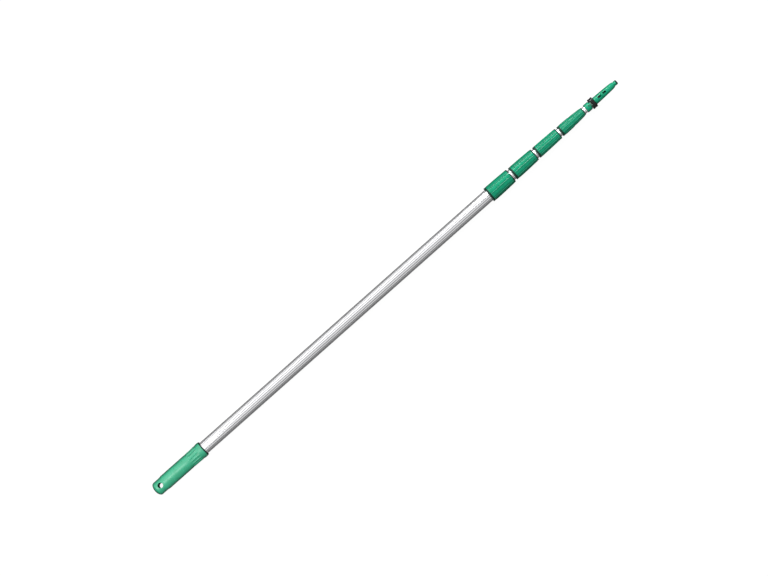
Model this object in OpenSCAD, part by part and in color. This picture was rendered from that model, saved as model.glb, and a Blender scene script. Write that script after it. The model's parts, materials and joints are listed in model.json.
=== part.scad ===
// Telescopic extension pole for window cleaning, closed to its shortest length.
// Five aluminium tubes slide in one another, each held by a twist collar. The
// butt has a grip with a hang hole, and the tip a cone that tools push onto.
// The pole lies along +X with its tip at +X. The origin is on the surface it
// lies on, under the middle of its length. All sizes are in millimetres.

/* [Tubes] */
// Outer diameter of the outermost tube
tube_d = 45; // [40:0.5:60]
// How much smaller each tube is than the one around it
tube_step = 5; // [4.5:0.1:6]
// Wall thickness of every tube
tube_wall = 1.2; // [0.9:0.1:1.4]
// Bare length of the outermost tube between the grip and the first collar
bare_len = 1296; // [600:1:2000]
// Length of tube that stays inside its neighbour at full reach
overlap_len = 180; // [120:5:260]
// Width of the two lengthwise grooves that keep a tube from turning
groove_w = 3; // [2:0.1:4]
// Depth of those grooves
groove_depth = 0.6; // [0.4:0.05:0.7]

/* [Butt grip] */
// Length of the grip
grip_len = 221; // [160:1:300]
// How far the grip's body stands over the tube
grip_over = 4.1; // [3.5:0.1:7]
// Length of the solid butt behind the tube
butt_len = 52; // [44:1:70]
// Diameter of the hang hole through the butt
hang_d = 19; // [10:0.5:20]
// Distance of the hang hole's centre from the end of the butt
hang_at = 29; // [25:0.5:32]
// How far the finger flange stands over the tube
flange_over = 6; // [5:0.1:9]

/* [Twist collars] */
// Length of the first three collars
collar_len = 100; // [92:1:130]
// Length of the last collar, which narrows towards the tip
last_collar_len = 106; // [98:1:140]
// Bare tube that shows in front of each collar when the pole is closed
collar_gap = 8; // [4:0.5:20]
// How far the back of the first collar stands over its tube
first_over = 6.5; // [5.5:0.1:10]
// How far the backs of the other collars stand over their tubes
next_over = 5.5; // [5.4:0.1:9]
// How much a collar's radius falls from back to front
collar_fall = 1.8; // [1:0.1:2]
// How much the last collar's radius falls from back to front
last_fall = 5.2; // [4:0.1:5.4]
// Number of finger flutes around a collar
flutes = 10; // [8:1:16]
// Wall thickness of the socket under each collar
socket_wall = 1.8; // [1.4:0.1:2]
// How far the socket's thread stands out
thread_h = 0.6; // [0.4:0.05:0.8]

/* [Tool cone] */
// How far the cone's base stands over the last tube
base_over = 3; // [2.5:0.1:4]
// Diameter of the cone at its back
cone_back_d = 27.2; // [27:0.1:32]
// Diameter of the cone where its tip starts to narrow
cone_front_d = 23; // [22:0.1:26]
// Length of the cone up to there
cone_len = 77; // [74:1:100]
// Diameter of the nub at the very tip
nub_d = 17; // [12:0.1:18]
// Length of the nub
nub_len = 14; // [10:0.5:20]
// How far the release ring is pulled back to free a tool
ring_travel = 6; // [4:0.1:6]

/* [Clearances] */
// Radial gap between pieces that slide or turn past each other
slide_gap = 0.3; // [0.3:0.05:0.35]
// Radial gap of a close running fit
run_gap = 0.06; // [0.03:0.01:0.1]
// Radial gap between pieces that are fixed to each other
seat_gap = 0.02; // [0:0.01:0.05]

/* [Hidden] */
$fn = 64;
eps = 0.01;
sections = 5;
collars = sections - 1;
cut = 200;

// Places along the pole, measured from the end of the butt
pitch = collar_len + collar_gap;
head_gap = collar_gap + 2;
head_at = collar_back(collars) + last_collar_len + head_gap;
function collar_back(k) = grip_len + bare_len + (k - 1) * pitch;
function collar_length(k) = k == collars ? last_collar_len : collar_len;

// Tubes, counted from 1, the outermost
function tube_r(k) = (tube_d - (k - 1) * tube_step) / 2;
function bore_r(k) = tube_r(k) - tube_wall;
function tube_back(k) = butt_len + (k - 1) * pitch;
function tube_front(k) = k == sections ? head_at + base_socket_len : collar_back(k) + socket_grip;

// Sockets, jaws and sleeves of the collars
socket_grip = 44;
lip_len = 4;
socket_len = 56;
rim_len = 3;
jaw_end = 92;
thread_pitch = 5;
thread_turns = 5;
sleeve_mouth = 0.6;
jaw_fingers = 6;
finger_slit = 2;
rivet_r = 1.6;
rivet_at = 35;
function socket_r(k) = tube_r(k) + socket_wall;
function sleeve_bore(k) = socket_r(k) + thread_h + slide_gap;
function sleeve_back_r(k) = tube_r(k) + (k == 1 ? first_over : next_over);
function sleeve_front_r(k) = sleeve_back_r(k) - (k == collars ? last_fall : collar_fall);
function knee_r(k) = sleeve_back_r(k) - 0.16 * (sleeve_back_r(k) - sleeve_front_r(k));
knee_share = 0.45;
flute_w = 4;
flute_depth = 0.7;
flute_from = 8;
jaw_gap = 0.15;
mouth_gap = 1.7;

// Bushes and stop rings
bush_len = 38;
bush_head = 13;
bush_air_r = 4;
stop_len = 12;

// Grip outline
dome_len = 14;
dome_steps = 10;
grip_r = tube_r(1) + grip_over;
butt_r = grip_r - 1.6;
waist_r = grip_r - 1.5;
flange_r = tube_r(1) + flange_over;
plug_gap = 0.2;
plug_len = 30;
plug_rivet_r = 2;

// Tool head, measured from the back face of its base
base_len = 20;
base_socket_len = 17;
base_r = tube_r(sections) + base_over;
shank_len = 45;
core_r = 11;
ring_back = base_len + ring_travel + 1;
ring_len = 12.7;
ring_front = ring_back + ring_len;
cone_back = ring_front + slide_gap;
tip_narrow = 10;
tip_at = cone_back + cone_len;
nub_at = tip_at + tip_narrow;
head_len = nub_at + nub_len;
cone_rivet_at = 14;
cone_rivet_r = 2;

// Release ring, with its ears and the pocket for its spring
ring_r = base_r + 0.8;
ear_gap = 0.5;
ear_out = base_r + 4.5;
ear_back = ring_back - 4.6;
ear_half = 7;
pocket_len = 9;
ring_web = ring_back + pocket_len + 0.2;
ring_pocket_r = 13.2;
spring_gap = 0.1;

// Lever and the ring's tongue in the channel inside the cone
channel_half = 3.5;
channel_floor = -9.2;
channel_roof = 10.6;
channel_back = base_len + 4;
channel_front = cone_back + 51;
window_back = cone_back + 15;
lever_half = channel_half - slide_gap;
lever_back = cone_back + 5;
lever_front = cone_back + 46;
lever_low = -3;
lever_waist = 3.5;
pivot_at = cone_back + 10;
pivot_r = 1.5;
nose_back = cone_back + 30;
nose_front = cone_back + 38;
nose_top = 13.3;
tongue_half = channel_half - 1;
tongue_low = 8.6;
tongue_top = 10.2;
bump_back = cone_back + 20;
bump_front = cone_back + 24;
bump_low = 4.3;
latch_spring_at = cone_back + 26;

total_len = head_at + head_len;
lie_height = max(flange_r, sleeve_back_r(1));

// Lays what stands on the butt along +X, with its +Y side on top
module laid(at = 0) {
    translate([at - total_len / 2, 0, lie_height])
        rotate([90, 0, 90])
            children();
}

// A round solid from [radius, height] points, turned about the pole's axis
module turned(points) {
    rotate_extrude($fn = 96) polygon(points);
}

// A plain ring
module ring(r_out, r_in, len) {
    difference() {
        cylinder(r = r_out, h = len, $fn = 96);
        translate([0, 0, -eps]) cylinder(r = r_in, h = len + 2 * eps, $fn = 96);
    }
}

// ---- tubes ----

module tube(k) {
    color("gainsboro")
        laid(tube_back(k))
            difference() {
                linear_extrude(tube_front(k) - tube_back(k)) tube_outline(k);
                if (k == 1) translate([0, 0, -tube_back(k)]) grip_rivet_hole(seat_gap);
                if (k < sections)
                    translate([0, 0, collar_back(k) - tube_back(k)]) rivet_holes(seat_gap);
                if (k == sections)
                    translate([0, 0, head_at - tube_back(k)]) cone_rivet_hole(seat_gap);
            }
}

module tube_outline(k) {
    difference() {
        circle(tube_r(k), $fn = 96);
        circle(bore_r(k), $fn = 96);
        for (side = [0, 180])
            rotate(side)
                translate([-groove_w / 2, tube_r(k) - groove_depth])
                    square([groove_w, 2 * groove_depth]);
    }
}

// Plug in the back end of a tube, with a head that runs in the next tube's bore
module guide_bush(k) {
    head_r = bore_r(k - 1) - slide_gap;
    color("whitesmoke")
        laid(tube_back(k))
            difference() {
                union() {
                    translate([0, 0, -bush_head]) cylinder(r = head_r, h = bush_head);
                    translate([0, 0, -eps]) cylinder(r = bore_r(k) - seat_gap, h = bush_len - bush_head);
                }
                translate([0, 0, -bush_head - eps]) cylinder(r = bush_air_r, h = bush_len + 1);
            }
}

// Ring on a tube that meets the next collar's lip at full reach
module stop_ring(k) {
    color("dimgray")
        laid(tube_back(k) + overlap_len - stop_len)
            ring(bore_r(k - 1) - slide_gap, tube_r(k) + seat_gap, stop_len);
}

// ---- butt ----

module end_grip() {
    dome = [for (i = [0 : dome_steps]) let (a = 90 * i / dome_steps)
        [butt_r * sin(a), dome_len * (1 - cos(a))]];
    outline = concat(dome, [
        [butt_r, hang_at + 9], [grip_r, hang_at + 18],
        [grip_r, grip_len - 65], [waist_r, grip_len - 58], [waist_r, grip_len - 38],
        [grip_r + 0.2, grip_len - 21], [flange_r, grip_len - 15], [flange_r, grip_len - 9],
        [flange_r - 2.6, grip_len - 3], [flange_r - 3.4, grip_len], [0, grip_len]
    ]);
    color("mediumseagreen")
        laid()
            difference() {
                turned(outline);
                translate([0, 0, butt_len]) cylinder(r = tube_r(1) + seat_gap, h = grip_len, $fn = 96);
                translate([0, 0, hang_at]) rotate([90, 0, 0]) cylinder(d = hang_d, h = cut, center = true);
                grip_rivet_hole(seat_gap);
            }
}

module grip_rivet_hole(gap) {
    translate([0, 0, butt_len + plug_len / 2])
        rotate([0, 90, 0])
            cylinder(r = plug_rivet_r + gap, h = cut, center = true);
}

module butt_plug() {
    color("dimgray")
        laid()
            difference() {
                translate([0, 0, butt_len + plug_gap]) cylinder(r = bore_r(1) - seat_gap, h = plug_len);
                grip_rivet_hole(seat_gap);
            }
}

module grip_rivet() {
    color("silver")
        laid()
            intersection() {
                grip_rivet_hole(0);
                translate([-grip_r + 0.3, -10, 0]) cube([2 * grip_r - 0.6, 20, grip_len]);
            }
}

// ---- collars ----

// Threaded socket fixed on the front end of a tube, with a lip that guides the next tube
module collar_socket(k) {
    next_r = tube_r(k + 1);
    color("darkgreen")
        laid(collar_back(k))
            difference() {
                union() {
                    cylinder(r = socket_r(k), h = socket_len, $fn = 96);
                    cylinder(r = sleeve_back_r(k) - 0.8, h = rim_len, $fn = 96);
                    for (turn = [1 : thread_turns])
                        translate([0, 0, rim_len + 2 + turn * thread_pitch])
                            cylinder(r = socket_r(k) + thread_h, h = thread_pitch / 3, $fn = 96);
                }
                translate([0, 0, -eps]) cylinder(r = tube_r(k) + seat_gap, h = socket_grip + eps, $fn = 96);
                difference() {
                    cylinder(r = next_r + slide_gap, h = cut, $fn = 96);
                    for (side = [0, 180])
                        rotate([0, 0, side])
                            translate([-groove_w / 2 + slide_gap, next_r - groove_depth / 2, 0])
                                cube([groove_w - 2 * slide_gap, 4, cut]);
                }
                translate([0, 0, socket_grip + lip_len]) cylinder(r = jaw_seat_r(k), h = cut, $fn = 96);
                rivet_holes(seat_gap);
            }
}

function jaw_seat_r(k) = tube_r(k) + seat_gap;

module rivet_holes(gap) {
    translate([0, 0, rivet_at])
        rotate([0, 90, 0])
            cylinder(r = rivet_r + gap, h = cut, center = true);
}

module collar_rivets(k) {
    color("silver")
        laid(collar_back(k))
            intersection() {
                rivet_holes(0);
                ring(socket_r(k) - 0.1, bore_r(k) + 0.1, socket_len);
            }
}

// Slit ring that the sleeve's cone squeezes onto the next tube
module collar_jaw(k) {
    next_r = tube_r(k + 1);
    base = socket_grip + lip_len;
    shoulder = socket_len + slide_gap;
    color("whitesmoke")
        laid(collar_back(k))
            difference() {
                turned([
                    [next_r + jaw_gap, base], [jaw_seat_r(k) - seat_gap, base],
                    [jaw_seat_r(k) - seat_gap, shoulder], [sleeve_bore(k) - slide_gap, shoulder],
                    [sleeve_bore(k) - slide_gap, shoulder + 4], [next_r + mouth_gap, jaw_end],
                    [next_r + jaw_gap, jaw_end]
                ]);
                for (i = [0 : jaw_fingers - 1])
                    rotate([0, 0, i * 360 / jaw_fingers])
                        translate([0, -finger_slit / 2, shoulder + 6])
                            cube([cut, finger_slit, cut]);
            }
}

// Fluted sleeve that a hand twists
module collar_sleeve(k) {
    next_r = tube_r(k + 1);
    len = collar_length(k);
    back = rim_len + slide_gap;
    cone_from = socket_len + 4 + 2 * slide_gap;
    color("seagreen")
        laid(collar_back(k))
            difference() {
                turned([
                    [sleeve_bore(k), back], [sleeve_back_r(k) - 0.8, back], [sleeve_back_r(k), back + 1.5],
                    [knee_r(k), knee_share * len], [sleeve_front_r(k), len - 3],
                    [sleeve_front_r(k) - 1.2, len], [next_r + sleeve_mouth, len],
                    [next_r + sleeve_mouth, jaw_end + 2], [next_r + mouth_gap + slide_gap, jaw_end + 1],
                    [sleeve_bore(k), cone_from]
                ]);
                for (i = [0 : flutes - 1])
                    rotate([0, 0, (i + 0.5) * 360 / flutes])
                        flute(k);
            }
}

// One shallow finger flute, cut flat along the back part of the collar
module flute(k) {
    translate([sleeve_back_r(k) - flute_depth, -flute_w / 2, flute_from])
        cube([cut, flute_w, knee_share * collar_length(k) - 2 * flute_from]);
}

// ---- tool head ----

function cone_r(z) = (cone_back_d + (cone_front_d - cone_back_d) * (z - cone_back) / cone_len) / 2;

module tool_cone() {
    shank_r = bore_r(sections) - seat_gap;
    color("seagreen")
        laid(head_at)
            difference() {
                turned([
                    [0, -shank_len], [shank_r, -shank_len], [shank_r, base_socket_len],
                    [tube_r(sections) + seat_gap, base_socket_len], [tube_r(sections) + seat_gap, 0],
                    [base_r - 0.8, 0], [base_r, 0.8], [base_r, base_len - 0.8], [base_r - 0.8, base_len],
                    [core_r, base_len], [core_r, cone_back], [cone_back_d / 2 - 0.6, cone_back],
                    [cone_r(cone_back + 1), cone_back + 1], [cone_front_d / 2, tip_at],
                    [nub_d / 2 + 0.8, nub_at], [nub_d / 2, nub_at + 0.8],
                    [nub_d / 2, head_len - 1], [nub_d / 2 - 1, head_len], [0, head_len]
                ]);
                channel();
                lever_pin_hole(seat_gap);
                cone_rivet_hole(seat_gap);
            }
}

// Slot inside the cone for the lever and the ring's tongue, open at the window
module channel() {
    translate([-channel_half, channel_floor, channel_back])
        cube([2 * channel_half, channel_roof - channel_floor, channel_front - channel_back]);
    translate([-channel_half, 0, window_back])
        cube([2 * channel_half, cut, channel_front - window_back]);
    translate([-channel_half, 0, channel_back])
        cube([2 * channel_half, core_r + 1, cone_back - channel_back]);
}

module lever_pin_hole(gap) {
    translate([0, 0, pivot_at])
        rotate([0, 90, 0])
            cylinder(r = pivot_r + gap, h = cut, center = true);
}

module lever_pin() {
    half = cone_r(pivot_at) - 0.4;
    color("silver")
        laid(head_at)
            intersection() {
                lever_pin_hole(0);
                translate([-half, -5, 0]) cube([2 * half, 10, cut]);
            }
}

module cone_rivet_hole(gap) {
    translate([0, tube_r(sections) - 3, cone_rivet_at])
        rotate([-90, 0, 0])
            cylinder(r = cone_rivet_r + gap, h = cut);
}

module cone_rivet() {
    color("dimgray")
        laid(head_at)
            intersection() {
                cone_rivet_hole(0);
                cylinder(r = base_r + 0.2, h = base_len, $fn = 96);
            }
}

// Ring with two finger ears, and a tongue that reaches forward over the lever
module release_ring() {
    color("black")
        laid(head_at)
            union() {
                difference() {
                    union() {
                        translate([0, 0, ring_back]) cylinder(r = ring_r, h = ring_len, $fn = 96);
                        for (side = [0, 180])
                            rotate([0, 0, side])
                                translate([base_r + ear_gap, -ear_half, ear_back])
                                    cube([ear_out - base_r - ear_gap, 2 * ear_half, ring_front - ear_back]);
                    }
                    translate([0, 0, ring_back - eps]) cylinder(r = core_r + run_gap, h = cut, $fn = 96);
                    translate([0, 0, ring_back - eps]) cylinder(r = ring_pocket_r, h = pocket_len);
                }
                translate([-tongue_half, tongue_low, ring_web])
                    cube([2 * tongue_half, core_r + 1 - tongue_low, ring_front - ring_web]);
                translate([-tongue_half, tongue_low, ring_web])
                    cube([2 * tongue_half, tongue_top - tongue_low, bump_front - ring_web]);
                translate([-tongue_half, bump_low, bump_back])
                    cube([2 * tongue_half, tongue_top - bump_low, bump_front - bump_back]);
            }
}

// Lever that tilts on its pin, with the nose that locks a tool on the cone
module latch_lever() {
    color("seagreen")
        laid(head_at)
            difference() {
                translate([-lever_half, 0, 0])
                    rotate([90, 0, 90])
                        linear_extrude(2 * lever_half)
                            polygon([
                                [lever_low, lever_back], [bump_low - spring_gap, lever_back],
                                [bump_low - spring_gap, pivot_at + 5], [lever_waist, bump_back],
                                [lever_waist, nose_back - 5], [nose_top - 1.5, nose_back],
                                [nose_top, nose_back + 1.5], [nose_top, nose_front - 3],
                                [nose_top - 2.5, nose_front], [3, nose_front], [3, lever_front - 2],
                                [1, lever_front], [-2, lever_front], [lever_low, lever_front - 4]
                            ]);
                lever_pin_hole(run_gap);
            }
}

// A coil spring as a round wire swept along a helix that stands on the XY plane
module coil(mean_r, wire_r, len, turns) {
    steps = 16;
    sides = 8;
    rings = steps * turns;
    rise = len - 2 * wire_r;
    points = [
        for (i = [0 : rings]) for (j = [0 : sides - 1])
            let (a = 360 * i / steps, b = 360 * j / sides, r = mean_r + wire_r * cos(b))
                [r * cos(a), r * sin(a), wire_r + rise * i / rings + wire_r * sin(b)]
    ];
    walls = [
        for (i = [0 : rings - 1]) for (j = [0 : sides - 1])
            let (n = (j + 1) % sides)
                [i * sides + j, i * sides + n, (i + 1) * sides + n, (i + 1) * sides + j]
    ];
    first_cap = [[for (j = [sides - 1 : -1 : 0]) j]];
    last_cap = [[for (j = [0 : sides - 1]) rings * sides + j]];
    polyhedron(points = points, faces = concat(walls, first_cap, last_cap), convexity = 8);
}

// Spring that pushes the release ring forward
module ring_spring() {
    room = ring_back + pocket_len - base_len;
    color("silver")
        laid(head_at)
            translate([0, 0, base_len + spring_gap])
                coil((core_r + ring_pocket_r) / 2, 0.5, room - 2 * spring_gap, 5);
}

// Spring under the lever that pushes its nose out
module latch_spring() {
    color("silver")
        laid(head_at)
            translate([0, channel_floor + spring_gap, latch_spring_at])
                rotate([-90, 0, 0])
                    coil(2.3, 0.35, lever_low - channel_floor - 2 * spring_gap, 5);
}

tube(1);  // tube_1
end_grip();
butt_plug();
grip_rivet();
collar_socket(1);  // collar_1_socket
collar_jaw(1);  // collar_1_jaw
collar_rivets(1);  // collar_1_rivets
collar_sleeve(1);  // collar_1_sleeve
collar_socket(2);  // collar_2_socket
collar_jaw(2);  // collar_2_jaw
collar_rivets(2);  // collar_2_rivets
collar_sleeve(2);  // collar_2_sleeve
collar_socket(3);  // collar_3_socket
collar_jaw(3);  // collar_3_jaw
collar_rivets(3);  // collar_3_rivets
collar_sleeve(3);  // collar_3_sleeve
collar_socket(4);  // collar_4_socket
collar_jaw(4);  // collar_4_jaw
collar_rivets(4);  // collar_4_rivets
collar_sleeve(4);  // collar_4_sleeve
tube(2);  // tube_2
guide_bush(2);  // guide_bush_2
stop_ring(2);  // stop_ring_2
tube(3);  // tube_3
guide_bush(3);  // guide_bush_3
stop_ring(3);  // stop_ring_3
tube(4);  // tube_4
guide_bush(4);  // guide_bush_4
stop_ring(4);  // stop_ring_4
tube(5);  // tube_5
guide_bush(5);  // guide_bush_5
stop_ring(5);  // stop_ring_5
tool_cone();
cone_rivet();
release_ring();
ring_spring();
latch_lever();
lever_pin();
latch_spring();
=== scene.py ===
import json
import math

import bmesh
import bpy
from mathutils import Matrix, Vector


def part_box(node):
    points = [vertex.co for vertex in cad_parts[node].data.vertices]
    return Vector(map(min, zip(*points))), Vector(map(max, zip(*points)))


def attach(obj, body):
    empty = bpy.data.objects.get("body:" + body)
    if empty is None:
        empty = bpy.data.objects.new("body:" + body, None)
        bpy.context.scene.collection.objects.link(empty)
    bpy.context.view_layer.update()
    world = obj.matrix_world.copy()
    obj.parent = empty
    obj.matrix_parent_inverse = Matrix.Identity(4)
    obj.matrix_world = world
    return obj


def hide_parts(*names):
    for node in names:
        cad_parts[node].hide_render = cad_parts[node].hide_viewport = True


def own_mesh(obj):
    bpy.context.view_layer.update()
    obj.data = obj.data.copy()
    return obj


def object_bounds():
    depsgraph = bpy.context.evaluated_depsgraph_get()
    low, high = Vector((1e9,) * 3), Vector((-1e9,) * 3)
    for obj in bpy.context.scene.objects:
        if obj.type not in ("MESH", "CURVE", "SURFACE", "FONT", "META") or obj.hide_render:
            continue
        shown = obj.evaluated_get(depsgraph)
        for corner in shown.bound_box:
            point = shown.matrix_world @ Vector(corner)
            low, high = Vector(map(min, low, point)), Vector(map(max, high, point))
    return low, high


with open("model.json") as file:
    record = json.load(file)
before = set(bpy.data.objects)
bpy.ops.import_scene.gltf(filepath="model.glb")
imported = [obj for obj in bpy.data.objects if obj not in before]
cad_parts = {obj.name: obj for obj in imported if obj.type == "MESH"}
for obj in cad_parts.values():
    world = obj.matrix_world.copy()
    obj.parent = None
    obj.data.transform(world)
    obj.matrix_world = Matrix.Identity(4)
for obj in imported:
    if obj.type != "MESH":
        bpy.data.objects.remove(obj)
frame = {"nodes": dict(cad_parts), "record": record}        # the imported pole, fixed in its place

cad_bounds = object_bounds()

# ---------------------------------------------------------------- sizes

MM = 0.001
MOUNTS = {m["name"]: m for m in frame["record"]["mounts"]}
AXIS_Z = MOUNTS["hang_hole"]["pos_m"][2]      # height of the pole's axis over the floor
HANG_X = MOUNTS["hang_hole"]["pos_m"][0]
HANG_R = MOUNTS["hang_hole"]["dims"]["r_mm"] * MM
TIP_X = cad_bounds[1][0]
COLLARS = 4
SECTIONS = 5
TUBE_WALL = 1.2 * MM
SNUG = 0.02 * MM                              # from a moulding to the tube that it holds
ROUND_STEPS = 4                               # stretches that round off one corner of an outline
EDGE_STEPS = 3                                # stretches across a rounded edge of a block
ON_AXIS = 1e-7                                # a smaller radius closes a turned piece in one point

# the tool head, measured from the back face of its base
HEAD_LEN = 141 * MM
SHANK_LEN = 45 * MM
SOCKET_LEN = 17 * MM
BASE_LEN = 20 * MM
BASE_R = 15.5 * MM
CORE_R = 11 * MM
CONE_BACK = 40 * MM
CONE_BACK_R = 13.6 * MM
CONE_FRONT = 117 * MM
CONE_FRONT_R = 11.5 * MM
NUB_BACK = 127 * MM
NUB_R = MOUNTS["tip_nub"]["dims"]["r_mm"] * MM
NUB_CAP = HEAD_LEN - 6 * MM                   # where the nub's dark end cap starts; its dark colour is painted shade at the nub's end
CHANNEL_HALF = 3.5 * MM
CHANNEL_BACK = 24 * MM
WINDOW_BACK = 55 * MM
WINDOW_FRONT = 91 * MM
PIVOT_AT = 50 * MM
PIVOT_R = 1.56 * MM
RING_BACK = 27 * MM
RING_FRONT = 39.7 * MM
RING_POCKET = 36 * MM
RING_POCKET_R = 13.2 * MM
RING_R = 16.3 * MM
EAR_R = 20 * MM
EAR_BACK = 22.4 * MM


def span(node):
    """Where a CAD node starts and ends along the pole, and its radius."""
    low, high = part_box(node)
    return low.x, high.x, (high.y - low.y) / 2


def at_head(z):
    """Place along the pole of a point measured from the back of the tool head."""
    return TIP_X - HEAD_LEN + z


# ---------------------------------------------------------------- mesh tools


def around(x, r, turn):
    """A point at radius r from the pole's axis; turn 0 is straight up, and turns grow towards +Y."""
    return Vector((x, r * math.sin(turn), AXIS_Z + r * math.cos(turn)))


def smooth_step(low, high, value):
    """0 at low, 1 at high and a smooth rise between; low may be the larger of the two."""
    t = min(max((value - low) / (high - low), 0.0), 1.0)
    return t * t * (3 - 2 * t)


def window(start, end, fade, value):
    """1 between start and end, fading to 0 over a length at both ends."""
    return smooth_step(start, start + fade, value) * smooth_step(end, end - fade, value)


def from_nearest(turn, count, phase, r):
    """Distance round a circle of radius r to the nearest of count evenly spaced lines."""
    pitch = 2 * math.pi / count
    off = (turn - phase + pitch / 2) % pitch - pitch / 2
    return abs(off) * r


def ridge(distance, width):
    """A smooth bump: 1 at no distance, and about a third at its width."""
    return math.exp(-((distance / width) ** 2))


def softened(corners, closed=False):
    """An outline of (x, r, size of rounding) corners, with each corner rounded off."""
    outline = []
    for i, (x, r, size) in enumerate(corners):
        here = Vector((x, r))
        if size <= 0 or (not closed and i in (0, len(corners) - 1)):
            outline.append((x, r))
            continue
        before = Vector(corners[i - 1][:2]) - here
        after = Vector(corners[(i + 1) % len(corners)][:2]) - here
        reach = min(size, 0.48 * before.length, 0.48 * after.length)
        start = here + before.normalized() * reach
        end = here + after.normalized() * reach
        for k in range(ROUND_STEPS + 1):
            t = k / ROUND_STEPS
            point = start.lerp(here, t).lerp(here.lerp(end, t), t)
            outline.append((point.x, point.y))
    return outline


def divided(outline, step, closed=False):
    """The outline with extra points, so that no stretch is longer than step."""
    fine = []
    ends = outline[1:] + ([outline[0]] if closed else [])
    for a, b in zip(outline, ends):
        count = max(1, math.ceil(math.dist(a, b) / step))
        for k in range(count):
            t = k / count
            fine.append((a[0] + (b[0] - a[0]) * t, a[1] + (b[1] - a[1]) * t))
    if not closed:
        fine.append(outline[-1])
    return fine


def skin(mesh, rings, closed=False):
    """Faces between each ring of points and the next; a ring of one point closes the skin there."""
    for a, b in zip(rings, rings[1:] + ([rings[0]] if closed else [])):
        sides = max(len(a), len(b))
        for s in range(sides):
            n = (s + 1) % sides
            if len(a) == 1:
                mesh.faces.new((a[0], b[s], b[n]))
            elif len(b) == 1:
                mesh.faces.new((a[s], b[0], a[n]))
            else:
                mesh.faces.new((a[s], b[s], b[n], a[n]))


def round_edges(mesh, size):
    bmesh.ops.bevel(
        mesh, geom=list(mesh.edges), offset=size, segments=EDGE_STEPS, profile=0.5, affect="EDGES"
    )


def new_object(name, mesh):
    """An object made of a bmesh, with its faces turned outwards."""
    bmesh.ops.recalc_face_normals(mesh, faces=mesh.faces)
    data = bpy.data.meshes.new(name)
    mesh.to_mesh(data)
    mesh.free()
    item = bpy.data.objects.new(name, data)
    bpy.context.scene.collection.objects.link(item)
    return item


def turned(name, outline, sides, closed=False, relief=None):
    """A piece turned about the pole's axis; relief(x, r, turn) says how far a point moves out."""
    mesh = bmesh.new()
    rings = []
    for x, r in outline:
        if r < ON_AXIS:
            rings.append([mesh.verts.new((x, 0, AXIS_Z))])
            continue
        ring = []
        for s in range(sides):
            turn = 2 * math.pi * s / sides
            out = relief(x, r, turn) if relief else 0
            ring.append(mesh.verts.new(around(x, r + out, turn)))
        rings.append(ring)
    skin(mesh, rings, closed)
    return new_object(name, mesh)


def slab(name, low, high, bevel=0.0):
    """A block between two corners, with its edges rounded."""
    mesh = bmesh.new()
    bmesh.ops.create_cube(mesh, size=1)
    middle = (Vector(low) + Vector(high)) / 2
    size = Vector(high) - Vector(low)
    for v in mesh.verts:
        v.co = Vector((v.co.x * size.x, v.co.y * size.y, v.co.z * size.z)) + middle
    if bevel:
        round_edges(mesh, bevel)
    return new_object(name, mesh)


def extruded(name, outline, half, bevel):
    """An outline of (x, height over the axis) points, made 2 * half thick across the pole."""
    mesh = bmesh.new()
    near = [mesh.verts.new((x, -half, AXIS_Z + h)) for x, h in outline]
    face = mesh.faces.new(near)
    far = bmesh.ops.extrude_face_region(mesh, geom=[face])
    for v in far["geom"]:
        if isinstance(v, bmesh.types.BMVert):
            v.co.y += 2 * half
    bmesh.ops.recalc_face_normals(mesh, faces=mesh.faces)
    round_edges(mesh, bevel)
    return new_object(name, mesh)


def upright(name, x, outline, sides):
    """A round solid on an upright axis at x, from (height over the pole's axis, radius) points."""
    mesh = bmesh.new()
    rings = []
    for h, r in outline:
        if r < ON_AXIS:
            rings.append([mesh.verts.new((x, 0, AXIS_Z + h))])
            continue
        rings.append([
            mesh.verts.new((x + r * math.cos(a), r * math.sin(a), AXIS_Z + h))
            for a in (2 * math.pi * s / sides for s in range(sides))
        ])
    skin(mesh, rings)
    return new_object(name, mesh)


def carved(solid, *cutters):
    """Takes the cutters' volume out of a solid, and removes the cutters."""
    for cutter in cutters:
        cut = solid.modifiers.new("carve", "BOOLEAN")
        cut.operation = "DIFFERENCE"
        cut.solver = "EXACT"
        cut.object = cutter
    bpy.context.view_layer.update()
    shape = solid.evaluated_get(bpy.context.evaluated_depsgraph_get())
    mesh = bpy.data.meshes.new_from_object(shape)
    solid.modifiers.clear()
    solid.data = mesh
    for cutter in cutters:
        bpy.data.objects.remove(cutter)
    return solid


def settle(item, body, slot, material, *stands_for, sharp=35):
    """Gives a piece its shading, finish and body, and hides the CAD nodes it stands for; slot is not
    used.
    """
    item.data.materials.clear()
    item.data.materials.append(material)
    item.data.shade_smooth()
    item.data.set_sharp_from_angle(angle=math.radians(sharp))
    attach(item, body)
    if stands_for:
        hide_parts(*stands_for)


# ---------------------------------------------------------------- node groups

GRAIN_SCALE = 2200.0                          # of a moulded skin that doesn't give its own


def node_group(name, inputs, outputs):
    """A shader node group with named inputs (name, type, value) and outputs (name, type)."""
    group = bpy.data.node_groups.new(name, "ShaderNodeTree")
    for label, kind, value in inputs:
        socket = group.interface.new_socket(label, in_out="INPUT", socket_type=kind)
        socket.default_value = value
    for label, kind in outputs:
        group.interface.new_socket(label, in_out="OUTPUT", socket_type=kind)
    return group


def node(tree, kind, **settings):
    made = tree.nodes.new(kind)
    for key, value in settings.items():
        setattr(made, key, value)
    return made


def link(tree, *pairs):
    for source, target in pairs:
        tree.links.new(source, target)


def math_node(tree, operation, first, second=None):
    """A Math node whose inputs are sockets or numbers; gives its output socket."""
    made = node(tree, "ShaderNodeMath", operation=operation)
    for i, value in enumerate((first, second)):
        if value is None:
            continue
        if isinstance(value, (int, float)):
            made.inputs[i].default_value = value
        else:
            tree.links.new(value, made.inputs[i])
    return made.outputs[0]


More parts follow.
